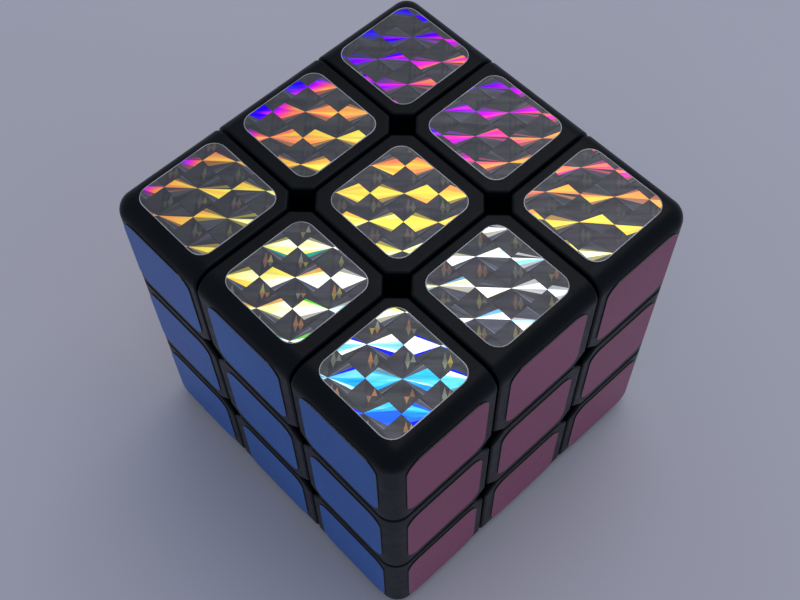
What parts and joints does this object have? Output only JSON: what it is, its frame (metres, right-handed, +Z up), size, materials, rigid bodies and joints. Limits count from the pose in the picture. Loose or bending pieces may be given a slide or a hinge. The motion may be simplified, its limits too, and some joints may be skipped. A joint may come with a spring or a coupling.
{
  "type": "twist puzzle cube",
  "caption": "Twist puzzle cube of equal blocks with faceted foil and satin colour tiles; each face turns freely about a spring-loaded six-armed core.",
  "frame": {"origin": "middle of the underside, on the surface that the cube stands on", "axes": "+Z up, through the silver face; -Y out of the blue face and +X out of the rose face"},
  "size_m": [0.0574, 0.0574, 0.0573],
  "materials": {
    "block_plastic": "black, semi-gloss moulded plastic",
    "core_plastic": "plain moulded plastic",
    "steel": "zinc plated",
    "tile_silver": "faceted iridescent silver foil",
    "tile_gold": "faceted gold foil",
    "tile_blue": "satin blue film",
    "tile_rose": "satin dusky rose film",
    "tile_orange": "satin orange film",
    "tile_green": "satin green film"
  },
  "bodies": {
    "core": {"core_spider": "core_plastic", "screws": "steel", "springs": "steel", "washers": "steel"},
    "corner_down_front_left": {"corner_down_front_left": "block_plastic", "tiles_corner_down_front_left": "tile_gold"},
    "edge_front_left": {"edge_front_left": "block_plastic", "tiles_edge_front_left": "tile_blue"},
    "corner_up_front_left": {"corner_up_front_left": "block_plastic", "tiles_corner_up_front_left": "tile_silver"},
    "edge_down_left": {"edge_down_left": "block_plastic", "tiles_edge_down_left": "tile_gold"},
    "centre_left": {"centre_left": "block_plastic", "tiles_centre_left": "tile_orange"},
    "edge_up_left": {"edge_up_left": "block_plastic", "tiles_edge_up_left": "tile_silver"},
    "corner_down_back_left": {"corner_down_back_left": "block_plastic", "tiles_corner_down_back_left": "tile_gold"},
    "edge_back_left": {"edge_back_left": "block_plastic", "tiles_edge_back_left": "tile_green"},
    "corner_up_back_left": {"corner_up_back_left": "block_plastic", "tiles_corner_up_back_left": "tile_silver"},
    "edge_down_front": {"edge_down_front": "block_plastic", "tiles_edge_down_front": "tile_gold"},
    "centre_front": {"centre_front": "block_plastic", "tiles_centre_front": "tile_blue"},
    "edge_up_front": {"edge_up_front": "block_plastic", "tiles_edge_up_front": "tile_silver"},
    "centre_down": {"centre_down": "block_plastic", "tiles_centre_down": "tile_gold"},
    "centre_up": {"centre_up": "block_plastic", "tiles_centre_up": "tile_silver"},
    "edge_down_back": {"edge_down_back": "block_plastic", "tiles_edge_down_back": "tile_gold"},
    "centre_back": {"centre_back": "block_plastic", "tiles_centre_back": "tile_green"},
    "edge_up_back": {"edge_up_back": "block_plastic", "tiles_edge_up_back": "tile_silver"},
    "corner_down_front_right": {"corner_down_front_right": "block_plastic", "tiles_corner_down_front_right": "tile_gold"},
    "edge_front_right": {"edge_front_right": "block_plastic", "tiles_edge_front_right": "tile_blue"},
    "corner_up_front_right": {"corner_up_front_right": "block_plastic", "tiles_corner_up_front_right": "tile_silver"},
    "edge_down_right": {"edge_down_right": "block_plastic", "tiles_edge_down_right": "tile_gold"},
    "centre_right": {"centre_right": "block_plastic", "tiles_centre_right": "tile_rose"},
    "edge_up_right": {"edge_up_right": "block_plastic", "tiles_edge_up_right": "tile_silver"},
    "corner_down_back_right": {"corner_down_back_right": "block_plastic", "tiles_corner_down_back_right": "tile_gold"},
    "edge_back_right": {"edge_back_right": "block_plastic", "tiles_edge_back_right": "tile_green"},
    "corner_up_back_right": {"corner_up_back_right": "block_plastic", "tiles_corner_up_back_right": "tile_silver"}
  },
  "joints": [
    {"name": "turn_left", "type": "hinge", "parent": "core", "child": "centre_left", "pos_m": [0, 0, 0.02865], "axis": [1, 0, 0], "continuous": true},
    {"name": "turn_front", "type": "hinge", "parent": "core", "child": "centre_front", "pos_m": [0, 0, 0.02865], "axis": [0, 1, 0], "continuous": true},
    {"name": "turn_down", "type": "hinge", "parent": "core", "child": "centre_down", "pos_m": [0, 0, 0.02865], "axis": [0, 0, 1], "continuous": true},
    {"name": "turn_up", "type": "hinge", "parent": "core", "child": "centre_up", "pos_m": [0, 0, 0.02865], "axis": [0, 0, 1], "continuous": true},
    {"name": "turn_back", "type": "hinge", "parent": "core", "child": "centre_back", "pos_m": [0, 0, 0.02865], "axis": [0, 1, 0], "continuous": true},
    {"name": "turn_right", "type": "hinge", "parent": "core", "child": "centre_right", "pos_m": [0, 0, 0.02865], "axis": [1, 0, 0], "continuous": true},
    {"name": "edge_front_left_turn", "type": "hinge", "parent": "centre_front", "child": "edge_front_left", "pos_m": [0, 0, 0.02865], "axis": [1, 0, 0], "continuous": true},
    {"name": "edge_down_left_turn", "type": "hinge", "parent": "centre_left", "child": "edge_down_left", "pos_m": [0, 0, 0.02865], "axis": [0, 0, 1], "continuous": true},
    {"name": "edge_up_left_turn", "type": "hinge", "parent": "centre_left", "child": "edge_up_left", "pos_m": [0, 0, 0.02865], "axis": [0, 0, 1], "continuous": true},
    {"name": "edge_back_left_turn", "type": "hinge", "parent": "centre_back", "child": "edge_back_left", "pos_m": [0, 0, 0.02865], "axis": [1, 0, 0], "continuous": true},
    {"name": "edge_down_front_turn", "type": "hinge", "parent": "centre_down", "child": "edge_down_front", "pos_m": [0, 0, 0.02865], "axis": [0, 1, 0], "continuous": true},
    {"name": "edge_up_front_turn", "type": "hinge", "parent": "centre_up", "child": "edge_up_front", "pos_m": [0, 0, 0.02865], "axis": [0, 1, 0], "continuous": true},
    {"name": "edge_down_back_turn", "type": "hinge", "parent": "centre_down", "child": "edge_down_back", "pos_m": [0, 0, 0.02865], "axis": [0, 1, 0], "continuous": true},
    {"name": "edge_up_back_turn", "type": "hinge", "parent": "centre_up", "child": "edge_up_back", "pos_m": [0, 0, 0.02865], "axis": [0, 1, 0], "continuous": true},
    {"name": "edge_front_right_turn", "type": "hinge", "parent": "centre_front", "child": "edge_front_right", "pos_m": [0, 0, 0.02865], "axis": [1, 0, 0], "continuous": true},
    {"name": "edge_down_right_turn", "type": "hinge", "parent": "centre_right", "child": "edge_down_right", "pos_m": [0, 0, 0.02865], "axis": [0, 0, 1], "continuous": true},
    {"name": "edge_up_right_turn", "type": "hinge", "parent": "centre_right", "child": "edge_up_right", "pos_m": [0, 0, 0.02865], "axis": [0, 0, 1], "continuous": true},
    {"name": "edge_back_right_turn", "type": "hinge", "parent": "centre_back", "child": "edge_back_right", "pos_m": [0, 0, 0.02865], "axis": [1, 0, 0], "continuous": true},
    {"name": "corner_down_front_left_turn", "type": "hinge", "parent": "edge_down_front", "child": "corner_down_front_left", "pos_m": [0, 0, 0.02865], "axis": [1, 0, 0], "continuous": true},
    {"name": "corner_up_front_left_turn", "type": "hinge", "parent": "edge_up_front", "child": "corner_up_front_left", "pos_m": [0, 0, 0.02865], "axis": [1, 0, 0], "continuous": true},
    {"name": "corner_down_back_left_turn", "type": "hinge", "parent": "edge_down_back", "child": "corner_down_back_left", "pos_m": [0, 0, 0.02865], "axis": [1, 0, 0], "continuous": true},
    {"name": "corner_up_back_left_turn", "type": "hinge", "parent": "edge_up_back", "child": "corner_up_back_left", "pos_m": [0, 0, 0.02865], "axis": [1, 0, 0], "continuous": true},
    {"name": "corner_down_front_right_turn", "type": "hinge", "parent": "edge_down_front", "child": "corner_down_front_right", "pos_m": [0, 0, 0.02865], "axis": [1, 0, 0], "continuous": true},
    {"name": "corner_up_front_right_turn", "type": "hinge", "parent": "edge_up_front", "child": "corner_up_front_right", "pos_m": [0, 0, 0.02865], "axis": [1, 0, 0], "continuous": true},
    {"name": "corner_down_back_right_turn", "type": "hinge", "parent": "edge_down_back", "child": "corner_down_back_right", "pos_m": [0, 0, 0.02865], "axis": [1, 0, 0], "continuous": true},
    {"name": "corner_up_back_right_turn", "type": "hinge", "parent": "edge_up_back", "child": "corner_up_back_right", "pos_m": [0, 0, 0.02865], "axis": [1, 0, 0], "continuous": true}
  ],
  "couplings": [
    {"joint": "edge_front_left_turn", "follows": "turn_left", "ratio": 1},
    {"joint": "edge_down_left_turn", "follows": "turn_down", "ratio": 1},
    {"joint": "edge_up_left_turn", "follows": "turn_up", "ratio": 1},
    {"joint": "edge_back_left_turn", "follows": "turn_left", "ratio": 1},
    {"joint": "edge_down_front_turn", "follows": "turn_front", "ratio": 1},
    {"joint": "edge_up_front_turn", "follows": "turn_front", "ratio": 1},
    {"joint": "edge_down_back_turn", "follows": "turn_back", "ratio": 1},
    {"joint": "edge_up_back_turn", "follows": "turn_back", "ratio": 1},
    {"joint": "edge_front_right_turn", "follows": "turn_right", "ratio": 1},
    {"joint": "edge_down_right_turn", "follows": "turn_down", "ratio": 1},
    {"joint": "edge_up_right_turn", "follows": "turn_up", "ratio": 1},
    {"joint": "edge_back_right_turn", "follows": "turn_right", "ratio": 1},
    {"joint": "corner_down_front_left_turn", "follows": "turn_left", "ratio": 1},
    {"joint": "corner_up_front_left_turn", "follows": "turn_left", "ratio": 1},
    {"joint": "corner_down_back_left_turn", "follows": "turn_left", "ratio": 1},
    {"joint": "corner_up_back_left_turn", "follows": "turn_left", "ratio": 1},
    {"joint": "corner_down_front_right_turn", "follows": "turn_right", "ratio": 1},
    {"joint": "corner_up_front_right_turn", "follows": "turn_right", "ratio": 1},
    {"joint": "corner_down_back_right_turn", "follows": "turn_right", "ratio": 1},
    {"joint": "corner_up_back_right_turn", "follows": "turn_right", "ratio": 1}
  ]
}
